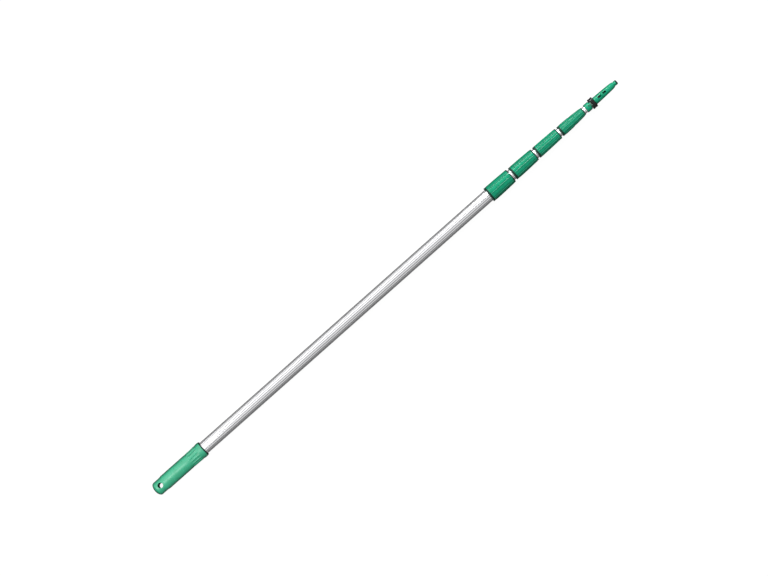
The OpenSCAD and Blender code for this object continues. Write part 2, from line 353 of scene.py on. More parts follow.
def ramp(tree, factor, low, high, from_value=0.0, to_value=1.0, smooth=True):
    """A clamped Map Range from low..high to from_value..to_value."""
    made = node(tree, "ShaderNodeMapRange")
    made.interpolation_type = "SMOOTHSTEP" if smooth else "LINEAR"
    made.inputs["From Min"].default_value = low
    made.inputs["From Max"].default_value = high
    made.inputs["To Min"].default_value = from_value
    made.inputs["To Max"].default_value = to_value
    tree.links.new(factor, made.inputs["Value"])
    return made.outputs["Result"]


def object_vector(tree, scale):
    """Object coordinates stretched by a scale along each axis."""
    place = node(tree, "ShaderNodeTexCoord")
    mapping = node(tree, "ShaderNodeMapping")
    mapping.inputs["Scale"].default_value = scale
    tree.links.new(place.outputs["Object"], mapping.inputs["Vector"])
    return mapping.outputs["Vector"]


def noise(tree, vector, scale, detail=2.0, roughness=0.5, distortion=0.0):
    made = node(tree, "ShaderNodeTexNoise")
    made.inputs["Scale"].default_value = scale
    made.inputs["Detail"].default_value = detail
    made.inputs["Roughness"].default_value = roughness
    made.inputs["Distortion"].default_value = distortion
    tree.links.new(vector, made.inputs["Vector"])
    return made.outputs["Fac"]


def turn_round_axis(tree):
    """How far round the pole's axis a point lies, in radians from the top towards +Y."""
    place = node(tree, "ShaderNodeTexCoord")
    parts = node(tree, "ShaderNodeSeparateXYZ")
    link(tree, (place.outputs["Object"], parts.inputs[0]))
    over_axis = math_node(tree, "SUBTRACT", parts.outputs["Z"], AXIS_Z)
    return math_node(tree, "ARCTAN2", parts.outputs["Y"], over_axis)


def lines_round(tree, turn, count):
    """A turn counted in pitches of count lines spread evenly round the pole."""
    return math_node(tree, "DIVIDE", math_node(tree, "MULTIPLY", turn, count), 2 * math.pi)


def moulded_grain_group():
    """Skin of a moulded plastic: a fine grain, and slow mottling where the melt cooled unevenly."""
    group = node_group(
        "Moulded grain",
        [("Grain Scale", "NodeSocketFloat", GRAIN_SCALE), ("Mottle Scale", "NodeSocketFloat", 70.0)],
        [("Height", "NodeSocketFloat"), ("Mottle", "NodeSocketFloat")],
    )
    start = node(group, "NodeGroupInput")
    end = node(group, "NodeGroupOutput")
    place = node(group, "ShaderNodeTexCoord")
    fine = node(group, "ShaderNodeTexVoronoi", feature="SMOOTH_F1")
    slow = node(group, "ShaderNodeTexNoise")
    slow.inputs["Detail"].default_value = 4.0
    waves = node(group, "ShaderNodeTexNoise")
    waves.inputs["Scale"].default_value = 260.0
    link(
        group,
        (place.outputs["Object"], fine.inputs["Vector"]),
        (place.outputs["Object"], slow.inputs["Vector"]),
        (place.outputs["Object"], waves.inputs["Vector"]),
        (start.outputs["Grain Scale"], fine.inputs["Scale"]),
        (start.outputs["Mottle Scale"], slow.inputs["Scale"]),
        (slow.outputs["Fac"], end.inputs["Mottle"]),
    )
    grains = math_node(group, "MULTIPLY", fine.outputs["Distance"], 0.5)
    ripple = math_node(group, "MULTIPLY", waves.outputs["Fac"], 0.6)
    link(group, (math_node(group, "ADD", grains, ripple), end.inputs["Height"]))
    return group


def drawn_lines_group():
    """A drawn tube: streaks that run its length, and painted shade in the valleys between its ribs."""
    group = node_group(
        "Drawn lines",
        [("Streak Contrast", "NodeSocketFloat", 1.0), ("Line Count", "NodeSocketFloat", 30.0)],
        [
            ("Height", "NodeSocketFloat"), ("Streak", "NodeSocketFloat"),
            ("Line Shade", "NodeSocketFloat"),
        ],
    )
    start = node(group, "NodeGroupInput")
    end = node(group, "NodeGroupOutput")
    # the valleys lie half a pitch from the count's zero at the top
    count = lines_round(group, turn_round_axis(group), start.outputs["Line Count"])
    to_line = math_node(group, "PINGPONG", math_node(group, "ADD", count, 0.5), 0.5)
    shade = ramp(group, to_line, 0.07, 0.22, 1.0, 0.0)
    fine = noise(group, object_vector(group, (1.2, 1500.0, 1500.0)), 1.0, 3.0, 0.6)
    broad = noise(group, object_vector(group, (3.0, 260.0, 260.0)), 1.0, 2.0, 0.5)
    both = math_node(
        group, "ADD",
        math_node(group, "MULTIPLY", fine, 0.6), math_node(group, "MULTIPLY", broad, 0.4),
    )
    centred = math_node(group, "SUBTRACT", both, 0.5)
    streak = math_node(group, "MULTIPLY", centred, start.outputs["Streak Contrast"])
    link(
        group,
        (shade, end.inputs["Line Shade"]),
        (math_node(group, "ADD", streak, 0.5), end.inputs["Streak"]),
        (fine, end.inputs["Height"]),
    )
    return group


def raised_lines_group():
    """Raised lines round the pole: a mask on their crests for a painted highlight, and one in the gutters
    beside them for painted shade.
    """
    group = node_group(
        "Raised lines",
        [
            ("Line Count", "NodeSocketFloat", 9.0), ("Phase", "NodeSocketFloat", 0.0),
            ("Width", "NodeSocketFloat", 0.05),
        ],
        [("Crest", "NodeSocketFloat"), ("Gutter", "NodeSocketFloat")],
    )
    start = node(group, "NodeGroupInput")
    end = node(group, "NodeGroupOutput")
    turn = math_node(group, "SUBTRACT", turn_round_axis(group), start.outputs["Phase"])
    count = lines_round(group, turn, start.outputs["Line Count"])
    to_line = math_node(group, "PINGPONG", count, 0.5)
    widths = math_node(group, "DIVIDE", to_line, start.outputs["Width"])
    past_crest = ramp(group, widths, 1.2, 1.9)
    past_gutter = ramp(group, widths, 2.6, 4.2, 1.0, 0.0)
    link(
        group,
        (ramp(group, widths, 0.4, 1.2, 1.0, 0.0), end.inputs["Crest"]),
        (math_node(group, "MULTIPLY", past_crest, past_gutter), end.inputs["Gutter"]),
    )
    return group


def handling_marks_group():
    """Short scratches in two directions, and smudges left by hands."""
    group = node_group(
        "Handling marks",
        [("Scratch Density", "NodeSocketFloat", 0.5)],
        [("Scratches", "NodeSocketFloat"), ("Smudges", "NodeSocketFloat")],
    )
    start = node(group, "NodeGroupInput")
    end = node(group, "NodeGroupOutput")
    layers = []
    for scale in ((60.0, 1900.0, 700.0), (700.0, 90.0, 1300.0)):
        lines = noise(group, object_vector(group, scale), 1.0, 1.0, 0.4, 0.3)
        layers.append(ramp(group, lines, 0.68, 0.76))
    patches = noise(group, object_vector(group, (22.0, 30.0, 30.0)), 1.0, 3.0)
    where = ramp(group, patches, 0.45, 0.62)
    scratches = math_node(group, "MAXIMUM", layers[0], layers[1])
    scratches = math_node(group, "MULTIPLY", scratches, where)
    scratches = math_node(group, "MULTIPLY", scratches, start.outputs["Scratch Density"])
    touches = noise(group, object_vector(group, (35.0, 55.0, 55.0)), 1.0, 5.0, 0.6)
    smudges = ramp(group, touches, 0.42, 0.66)
    link(group, (scratches, end.inputs["Scratches"]), (smudges, end.inputs["Smudges"]))
    return group


def edge_rub_group():
    """Where hands and sockets rub an edge pale, broken up so that no edge wears evenly."""
    group = node_group(
        "Edge rub",
        [("Amount", "NodeSocketFloat", 0.5)],
        [("Rub", "NodeSocketFloat")],
    )
    start = node(group, "NodeGroupInput")
    end = node(group, "NodeGroupOutput")
    shape = node(group, "ShaderNodeNewGeometry")
    edges = ramp(group, shape.outputs["Pointiness"], 0.515, 0.57)
    patches = noise(group, object_vector(group, (180.0, 180.0, 180.0)), 1.0, 4.0, 0.65)
    rub = math_node(group, "MULTIPLY", edges, ramp(group, patches, 0.4, 0.65))
    link(group, (math_node(group, "MULTIPLY", rub, start.outputs["Amount"]), end.inputs["Rub"]))
    return group


GRAIN = moulded_grain_group()
LINES = drawn_lines_group()
RAISED = raised_lines_group()
MARKS = handling_marks_group()
RUB = edge_rub_group()

# ---------------------------------------------------------------- materials


def blank_material(name):
    material = bpy.data.materials.new(name)
    material.use_nodes = True
    tree = material.node_tree
    return material, tree, tree.nodes["Principled BSDF"]


def use_group(tree, group, **values):
    made = node(tree, "ShaderNodeGroup", node_tree=group)
    for label, value in values.items():
        made.inputs[label.replace("_", " ")].default_value = value
    return made


def mixed_colour(tree, factor, first, second):
    """A colour mix; first and second are sockets or (r, g, b) colours."""
    made = node(tree, "ShaderNodeMix", data_type="RGBA")
    tree.links.new(factor, made.inputs["Factor"])
    for label, value in (("A", first), ("B", second)):
        socket = [s for s in made.inputs if s.name == label and s.type == "RGBA"][0]
        if isinstance(value, tuple):
            socket.default_value = (*value, 1.0)
        else:
            tree.links.new(value, socket)
    return [s for s in made.outputs if s.type == "RGBA"][0]


def bumped(tree, shader, *layers):
    """Stacks bump nodes, one for each (height socket, strength, distance in metres)."""
    normal = None
    for height, strength, distance in layers:
        bump = node(tree, "ShaderNodeBump")
        bump.inputs["Strength"].default_value = strength
        bump.inputs["Distance"].default_value = distance
        tree.links.new(height, bump.inputs["Height"])
        if normal:
            tree.links.new(normal, bump.inputs["Normal"])
        normal = bump.outputs["Normal"]
    tree.links.new(normal, shader.inputs["Normal"])


SCRATCH_SHOW = 0.35                           # how far a scratch takes a plastic to its pale colour
GUTTER_SHADE = 0.55                            # how dark painted shade makes the gutters beside raised lines
CREST_HIGHLIGHT = 0.36                             # how far a painted highlight takes the crests of raised lines to pale


def moulded_plastic(
    name, colour, deep, pale, roughness, grain_depth, grain_scale=GRAIN_SCALE, rub=0.5, gloss=0.5,
    rim=0.0, lines=None
):
    """Coloured moulding: it drifts towards deep, and hands and sockets rub its edges to pale.

    rim gives the painted shade that darkens its colour towards its outline, where its surface
    turns from the eye. lines gives the count, the phase and the width, as a share of their pitch,
    of raised lines along it, with a painted highlight on their crests and painted shade in the
    gutters beside them.
    """
    material, tree, shader = blank_material(name)
    grain = use_group(tree, GRAIN, Grain_Scale=grain_scale)
    marks = use_group(tree, MARKS, Scratch_Density=0.5)
    edges = use_group(tree, RUB, Amount=rub)
    body = mixed_colour(tree, ramp(tree, grain.outputs["Mottle"], 0.3, 0.7), deep, colour)
    scuffs = math_node(tree, "MULTIPLY", marks.outputs["Scratches"], SCRATCH_SHOW)
    wear_and_painted_light = mixed_colour(tree, scuffs, body, pale)
    wear_and_painted_light = mixed_colour(tree, edges.outputs["Rub"], wear_and_painted_light, pale)
    if lines:
        count, phase, width = lines
        raised = use_group(tree, RAISED, Line_Count=count, Phase=phase, Width=width)
        # painted shade in the gutters beside the raised lines, and a painted highlight on their crests
        gutter_shade = math_node(tree, "MULTIPLY", raised.outputs["Gutter"], GUTTER_SHADE)
        wear_and_painted_light = mixed_colour(tree, gutter_shade, wear_and_painted_light, tuple(0.25 * c for c in deep))
        crest_highlight = math_node(tree, "MULTIPLY", raised.outputs["Crest"], CREST_HIGHLIGHT)
        wear_and_painted_light = mixed_colour(tree, crest_highlight, wear_and_painted_light, pale)
    # painted shade: the colour darkens towards the outline, where the surface turns from the eye
    if rim:
        facing = node(tree, "ShaderNodeLayerWeight")
        facing.inputs["Blend"].default_value = 0.5
        away = ramp(tree, facing.outputs["Facing"], 0.22, 0.72, 0.0, rim)
        wear_and_painted_light = mixed_colour(tree, away, wear_and_painted_light, tuple(0.1 * c for c in deep))
    link(tree, (wear_and_painted_light, shader.inputs["Base Color"]))
    matt = ramp(tree, marks.outputs["Smudges"], 0.0, 1.0, roughness, roughness + 0.1)
    matt = math_node(tree, "ADD", matt, math_node(tree, "MULTIPLY", marks.outputs["Scratches"], 0.18))
    link(tree, (matt, shader.inputs["Roughness"]))
    shader.inputs["Specular IOR Level"].default_value = gloss
    bumped(
        tree, shader,
        (grain.outputs["Height"], 0.5, grain_depth),
        (marks.outputs["Scratches"], -0.4, 0.02 * MM),
    )
    return material


def drawn_aluminium(name, ribs):
    """Anodised drawn tube: pale, streaked along its length, with painted shade in the valleys between
    ribs.
    """
    material, tree, shader = blank_material(name)
    lines = use_group(tree, LINES, Streak_Contrast=1.3, Line_Count=ribs)
    marks = use_group(tree, MARKS, Scratch_Density=0.35)
    dull, clean = (0.82, 0.82, 0.84), (0.95, 0.95, 0.96)
    smudged, valley_shade = (0.82, 0.82, 0.83), (0.14, 0.14, 0.145)
    tone = mixed_colour(tree, ramp(tree, lines.outputs["Streak"], 0.3, 0.7), dull, clean)
    smears = math_node(tree, "MULTIPLY", marks.outputs["Smudges"], 0.25)
    tone = mixed_colour(tree, smears, tone, smudged)
    # painted shade in the valleys between the ribs
    shade = math_node(tree, "MULTIPLY", lines.outputs["Line Shade"], 0.95)
    tone = mixed_colour(tree, shade, tone, valley_shade)
    link(tree, (tone, shader.inputs["Base Color"]))
    shader.inputs["Metallic"].default_value = 1.0
    rough = ramp(tree, lines.outputs["Streak"], 0.3, 0.7, 0.17, 0.27)
    rough = math_node(tree, "ADD", rough, math_node(tree, "MULTIPLY", marks.outputs["Smudges"], 0.06))
    link(tree, (rough, shader.inputs["Roughness"]))
    bumped(
        tree, shader,
        (lines.outputs["Height"], 0.35, 0.02 * MM),
        (marks.outputs["Scratches"], -0.3, 0.015 * MM),
    )
    return material


def worked_steel(name, dark, light, roughness):
    """Wire, pins and rivets: a fine grain and a little tarnish."""
    material, tree, shader = blank_material(name)
    grain = use_group(tree, GRAIN, Grain_Scale=3500.0, Mottle_Scale=400.0)
    marks = use_group(tree, MARKS, Scratch_Density=0.6)
    tone = mixed_colour(tree, ramp(tree, grain.outputs["Mottle"], 0.35, 0.65), dark, light)
    link(tree, (tone, shader.inputs["Base Color"]))
    shader.inputs["Metallic"].default_value = 1.0
    rough = ramp(tree, marks.outputs["Smudges"], 0.0, 1.0, roughness, roughness + 0.15)
    link(tree, (rough, shader.inputs["Roughness"]))
    bumped(tree, shader, (grain.outputs["Height"], 0.2, 0.01 * MM))
    return material


GREEN_OUTLINE_SHADE = 0.78                              # how much painted shade darkens a green moulding at its outline

GRIP_GREEN = moulded_plastic(
    "butt grip green", (0.008, 0.370, 0.196), (0.004, 0.320, 0.158), (0.22, 0.55, 0.40),
    roughness=0.38, grain_depth=0.03 * MM, grain_scale=1500.0, rub=0.3, gloss=0.9, rim=GREEN_OUTLINE_SHADE
)
CONE_GREEN = moulded_plastic(
    "tool cone green", (0.004, 0.310, 0.163), (0.002, 0.255, 0.130), (0.13, 0.45, 0.32),
    roughness=0.20, grain_depth=0.003 * MM, grain_scale=2600.0, rub=0.4, gloss=0.2, rim=GREEN_OUTLINE_SHADE
)
# dark green: on the collar sockets, the grip's lip, the collars' end caps and back rims and the nub's end
# cap, this dark colour is painted shade at the ends of those parts
DARK_GREEN_END_SHADE = moulded_plastic(
    "dark green with painted end shade", (0.001, 0.040, 0.024), (0.001, 0.030, 0.018), (0.02, 0.10, 0.07),
    roughness=0.42, grain_depth=0.02 * MM, rub=0.4, gloss=0.3
)
RING_BLACK = moulded_plastic(
    "release ring black", (0.004, 0.004, 0.004), (0.002, 0.002, 0.002), (0.06, 0.06, 0.06),
    roughness=0.14, grain_depth=0.004 * MM, grain_scale=3000.0, rub=0.3, gloss=0.25
)
INNER_BLACK = moulded_plastic(
    "inner moulding black", (0.030, 0.030, 0.032), (0.020, 0.020, 0.021), (0.12, 0.12, 0.12),
    roughness=0.45, grain_depth=0.02 * MM
)
PALE_ACETAL = moulded_plastic(
    "pale acetal", (0.80, 0.80, 0.77), (0.72, 0.72, 0.68), (0.90, 0.90, 0.88),
    roughness=0.38, grain_depth=0.01 * MM
)
BRIGHT_STEEL = worked_steel("bright steel", (0.55, 0.55, 0.56), (0.72, 0.72, 0.73), 0.22)
DARK_STEEL = worked_steel("blackened steel", (0.035, 0.035, 0.037), (0.07, 0.07, 0.07), 0.35)

# ---------------------------------------------------------------- tubes


def make_tube(k):
    """One drawn tube, with fine ribs along it and the two grooves that keep it from turning."""
    back, front, r = span(f"tube_{k}")
    rib_pitch = 7.1 * MM
    ribs = 2 * round(math.pi * r / rib_pitch)
    sides = ribs * 24
    rib_depth = 0.5 * MM
    valley_half = 0.9 * MM
    groove_half = 1.5 * MM
    groove_slope = 0.35 * MM
    groove_depth = 0.6 * MM
    outer = r - 0.5 * TUBE_WALL

    def relief(x, radius, turn):
        if radius < outer:
            return 0
        to_groove = from_nearest(turn, 2, 0, radius)
        if to_groove < groove_half:
            return -groove_depth * smooth_step(groove_half, groove_half - groove_slope, to_groove)
        to_line = from_nearest(turn, ribs, math.pi / ribs, radius)
        return -rib_depth * ridge(to_line, valley_half)

    bore = r - TUBE_WALL
    outline = softened([
        (back, r, 0.3 * MM), (front, r, 0.3 * MM), (front, bore, 0.2 * MM), (back, bore, 0.2 * MM)
    ], closed=True)
    tube = turned(f"ribbed_tube_{k}", outline, sides, closed=True, relief=relief)
    finish = drawn_aluminium(f"drawn aluminium {k}", ribs)
    settle(tube, f"section_{k}", "aluminium", finish, f"tube_{k}", sharp=50)


# ---------------------------------------------------------------- butt grip


def make_grip():
    """The moulded grip: domed butt, fuller body, slight waist, fins, a flange and its dark lip, whose
    dark colour is painted shade at the flange's end.
    """
    back, front, flange_r = span("end_grip")
    tube_r = span("tube_1")[2] + SNUG
    grip_r = 26.6 * MM
    butt_r = grip_r - 1.6 * MM
    waist_r = grip_r - 1.4 * MM
    tube_from = back + 52 * MM
    dome_len = 14 * MM
    lip_from = front - 3.5 * MM
    dome = [
        (back + dome_len * (1 - math.cos(a)), butt_r * math.sin(a))
        for a in (math.radians(5 * i) for i in range(19))
    ]
    side = softened([
        (back + dome_len, butt_r, 0),
        (back + 38 * MM, butt_r, 3 * MM), (back + 47 * MM, grip_r, 3 * MM),
        (front - 68 * MM, grip_r, 12 * MM), (front - 55 * MM, waist_r, 12 * MM),
        (front - 38 * MM, waist_r, 12 * MM), (front - 21 * MM, grip_r + 0.2 * MM, 3 * MM),
        (front - 15 * MM, flange_r, 1.6 * MM), (front - 6 * MM, flange_r, 1.2 * MM),
        (front - 3.6 * MM, flange_r - 0.6 * MM, 0.5 * MM), (lip_from, flange_r - 1.8 * MM, 0.3 * MM),
        (lip_from, tube_r, 0.4 * MM), (tube_from, tube_r, 0), (tube_from, 0, 0),
    ])
    outline = divided(dome[:-1] + side, 4 * MM)
    # the dark lip is painted shade at the end of the flange
    lip = turned("grip_shade_lip", softened([
        (lip_from, tube_r, 0), (lip_from, flange_r - 1.0 * MM, 0.2 * MM),
        (front - 1.0 * MM, flange_r - 1.1 * MM, 0.8 * MM), (front, flange_r - 2.2 * MM, 0.5 * MM),
        (front, tube_r, 0.4 * MM),
    ], closed=True), 180, closed=True)
    settle(lip, "section_1", "socket_plastic", DARK_GREEN_END_SHADE)
    fins = 16
    fin_height = 1.6                          # in mm, as the seam's is
    fin_half = 1.6 * MM
    fin_from = front - 66 * MM
    fin_to = front - 18 * MM
    seam_height = 0.12
    seam_half = 0.5 * MM

    def relief(x, r, turn):
        if r < tube_r + 1 * MM:
            return 0
        on_fins = window(fin_from, fin_to, 12 * MM, x)
        fin = ridge(from_nearest(turn, fins, 0.0, r), fin_half)
        seam = ridge(from_nearest(turn, 2, math.pi / 2, r), seam_half)
        on_side = window(back + 4 * MM, front - 12 * MM, 6 * MM, x)
        return (fin_height * fin * on_fins + seam_height * seam * on_side) * MM

    grip = turned("butt_grip", outline, 360, relief=relief)
    # the hang hole flares where it comes out through the grip's skin
    edge = butt_r - 1.5 * MM
    flare = [
        (edge + h * MM, HANG_R + f * MM)
        for h, f in ((0.0, 0.0), (0.6, 0.1), (1.2, 0.45), (1.8, 1.1), (2.4, 2.2), (6, 6.0))
    ]
    half = [(-h, r) for h, r in reversed(flare)] + flare
    hole = upright("hole", HANG_X, [(half[0][0], 0)] + half + [(half[-1][0], 0)], 96)
    carved(grip, hole)
    settle(grip, "section_1", "grip_plastic", GRIP_GREEN, "end_grip", sharp=40)


# ---------------------------------------------------------------- twist collars


COLLAR_RIBS = (9, 9, 10, 12)                  # raised lines round each sleeve
RIB_PHASE = (-10.5, -9.0, -7.0, -2.0)         # where the first lies, in degrees round from the top
COLLAR_FALL = (1.8, 1.8, 1.8, 5.2)            # how far the radius falls to the front, in mm
RIB_HALF = 1.15 * MM                          # half the width of a raised line


def collar_green(k, ribs, phase, r):
    """The plastic of one sleeve, with a painted highlight on its raised lines and painted shade in the
    gutters beside them.
    """
    width = RIB_HALF * ribs / (2 * math.pi * r)
    return moulded_plastic(
        f"twist collar green {k}", (0.003, 0.310, 0.163), (0.002, 0.255, 0.130), (0.12, 0.45, 0.32),
        roughness=0.19, grain_depth=0.003 * MM, grain_scale=2600.0, rub=0.3, gloss=0.16,
        rim=GREEN_OUTLINE_SHADE, lines=(ribs, phase, width)
    )


def make_sleeve(k):
    """The sleeve a hand twists: a slim barrel with raised lines, a back rim and an end cap; the rim and
    the cap are dark green, which is painted shade at the sleeve's ends.
    """
    node_name = f"collar_{k}_sleeve"
    back, front, back_r = span(node_name)
    tube_r = span(f"tube_{k}")[2]
    inner_r = span(f"tube_{k + 1}")[2]
    length = front - back
    fall = COLLAR_FALL[k - 1] * MM
    front_r = back_r - fall
    knee_r = back_r - 0.16 * fall
    bore = tube_r + 2.7 * MM
    mouth_r = inner_r + 0.6 * MM
    rib_height = 0.8 * MM
    barrel_r = back_r - rib_height
    cap_r = front_r - rib_height
    # the bore narrows over this stretch, which squeezes the jaw
    cone_from = back + 58 * MM
    cone_to = back + 91 * MM
    rim_len = 3.4 * MM
    rim_to = back + rim_len
    cap_from = front - rim_len
    outline = softened([
        (rim_to, barrel_r - 1.2 * MM, 0), (rim_to + 0.2 * MM, barrel_r - 0.1 * MM, 0.3 * MM),
        (rim_to + 2.5 * MM, barrel_r, 0.6 * MM),
        (back + 0.43 * length, knee_r - rib_height, 12 * MM),
        (cap_from - 0.6 * MM, cap_r + 0.06 * fall, 0.6 * MM), (cap_from, cap_r - 0.5 * MM, 0.3 * MM),
        (cap_from, mouth_r, 0), (cone_to, mouth_r, 0),
        (cone_to - 1 * MM, inner_r + 2.0 * MM, 0), (cone_from, bore, 0), (rim_to, bore, 0),
    ], closed=True)
    outline = divided(outline, 5 * MM, closed=True)
    ribs = COLLAR_RIBS[k - 1]
    phase = math.radians(RIB_PHASE[k - 1])
    gutter_off = 2.4 * MM
    gutter_half = 0.7 * MM
    gutter_depth = 0.25 * MM

    def outside(x):
        """A radius inside the sleeve's wall at x, which parts its outside from its bore."""
        if x < cone_from:
            return (bore + barrel_r) / 2
        share = min(max((x - back) / length, 0), 1)
        return bore + (inner_r + 1.2 * MM - bore) * (share - 0.55) / 0.45

    def relief(x, r, turn):
        if r < outside(x):
            return 0
        on_side = window(back + 6 * MM, front - 6 * MM, 3 * MM, x)
        to_rib = from_nearest(turn, ribs, phase, r)
        rib = ridge(to_rib, RIB_HALF)
        gutter = ridge(to_rib - gutter_off, gutter_half)
        return (rib_height * rib - gutter_depth * gutter) * on_side

    # dark end cap and back rim: their dark colour is painted shade at the sleeve's two ends
    cap = turned(f"collar_end_shade_cap_{k}", softened([
        (cap_from, cap_r - 0.2 * MM, 0), (cap_from + 0.3 * MM, cap_r, 0.2 * MM),
        (front - 0.8 * MM, cap_r + 0.1 * MM, 0.6 * MM), (front, cap_r - 1.0 * MM, 0.4 * MM),
        (front, mouth_r, 0.3 * MM), (cap_from, mouth_r, 0),
    ], closed=True), 160, closed=True)
    settle(cap, f"twist_sleeve_{k}", "socket_plastic", DARK_GREEN_END_SHADE)
    rim = turned(f"collar_back_shade_rim_{k}", softened([
        (back, bore, 0.3 * MM), (back, barrel_r - 1.2 * MM, 0.5 * MM),
        (back + 0.9 * MM, barrel_r - 0.1 * MM, 0.7 * MM), (rim_to, barrel_r - 0.1 * MM, 0.3 * MM),
        (rim_to, bore, 0),
    ], closed=True), 160, closed=True)
    settle(rim, f"twist_sleeve_{k}", "socket_plastic", DARK_GREEN_END_SHADE)
    sleeve = turned(f"twist_collar_{k}", outline, ribs * 44, closed=True, relief=relief)
    green = collar_green(k, ribs, phase, back_r)
    settle(sleeve, f"twist_sleeve_{k}", "collar_plastic", green, node_name, sharp=50)


# ---------------------------------------------------------------- tool head


def make_cone():
    """The tool cone: base, neck, shank, a nub with a dark end cap whose colour is painted shade at its
    end, and the channel that the latch works in.
    """
    tube_r = span("tube_5")[2]
    shank_r = tube_r - 1.25 * MM
    corners = [
        (-SHANK_LEN, 0, 0), (-SHANK_LEN, shank_r, 0.8 * MM), (SOCKET_LEN, shank_r, 0),
        (SOCKET_LEN, tube_r + SNUG, 0), (0, tube_r + SNUG, 0.3 * MM),
        (0, BASE_R - 1.0 * MM, 0.6 * MM), (1.0 * MM, BASE_R, 0.6 * MM),
        (BASE_LEN - 1.2 * MM, BASE_R, 0.8 * MM), (BASE_LEN, BASE_R - 1.2 * MM, 0.6 * MM),
        (BASE_LEN, CORE_R, 0.5 * MM), (CONE_BACK, CORE_R, 0.2 * MM),
        (CONE_BACK, CONE_BACK_R - 0.5 * MM, 0.4 * MM), (CONE_BACK + 1.0 * MM, CONE_BACK_R, 0.6 * MM),
        (CONE_FRONT, CONE_FRONT_R, 6 * MM), (NUB_BACK - 0.6 * MM, NUB_R + 0.9 * MM, 1 * MM),
        (NUB_BACK, NUB_R - 0.9 * MM, 0.4 * MM), (NUB_BACK + 2.4 * MM, NUB_R - 0.9 * MM, 0.4 * MM),
        (NUB_BACK + 3.2 * MM, NUB_R, 0.5 * MM), (NUB_CAP, NUB_R, 0.3 * MM), (NUB_CAP, 0, 0),
    ]
    outline = divided(softened([(at_head(z), r, size) for z, r, size in corners]), 4 * MM)
    keys = 6                                  # fine lines along the cone
    hoop_pitch = 9 * MM                       # between the shallow hoops round it

    def relief(x, r, turn):
        z = x - at_head(0)
        if r < CORE_R + 1.0 * MM or z < CONE_BACK:
            return 0
        on_cone = window(CONE_BACK + 3 * MM, CONE_FRONT - 4 * MM, 4 * MM, z)
        key = ridge(from_nearest(turn, keys, math.pi / keys, r), 0.7 * MM)
        to_hoop = from_nearest(2 * math.pi * z / hoop_pitch, 1, math.pi, hoop_pitch / (2 * math.pi))
        hoop = ridge(to_hoop, 0.5 * MM)
        return (0.3 * key - 0.18 * hoop) * on_cone * MM

    cone = turned("cone_moulding", outline, 288, relief=relief)
    # the channel inside, the opening over the latch, and the mouth that the ring's tongue enters by
    cutters = [
        slab(
            name, (at_head(start), -CHANNEL_HALF, AXIS_Z + low),
            (at_head(stop), CHANNEL_HALF, AXIS_Z + high), bevel
        )
        for name, start, stop, low, high, bevel in (
            ("channel", CHANNEL_BACK, WINDOW_FRONT, -9.2 * MM, 10.6 * MM, 0),
            ("opening", WINDOW_BACK, WINDOW_FRONT, 5 * MM, 20 * MM, 1.4 * MM),
            ("mouth", CHANNEL_BACK, CONE_BACK, 5 * MM, CORE_R + 1 * MM, 0),
        )
    ]
    carved(cone, *cutters)
    # the nub's dark end cap: its dark colour is painted shade at the nub's end
    cap = turned("nub_end_shade_cap", softened([
        (at_head(NUB_CAP), 0, 0), (at_head(NUB_CAP), NUB_R - 0.3 * MM, 0.1 * MM),
        (at_head(NUB_CAP + 0.4 * MM), NUB_R, 0.2 * MM), (at_head(HEAD_LEN - 2.2 * MM), NUB_R, 1.0 * MM),
        (at_head(HEAD_LEN), NUB_R - 1.6 * MM, 0.8 * MM), (at_head(HEAD_LEN), 3.2 * MM, 0.4 * MM),
        (at_head(HEAD_LEN - 4 * MM), 2.6 * MM, 0), (at_head(HEAD_LEN - 4 * MM), 0, 0),
    ]), 120)
    settle(cap, "section_5", "socket_plastic", DARK_GREEN_END_SHADE)
    settle(cone, "section_5", "cone_plastic", CONE_GREEN, "tool_cone", sharp=35)


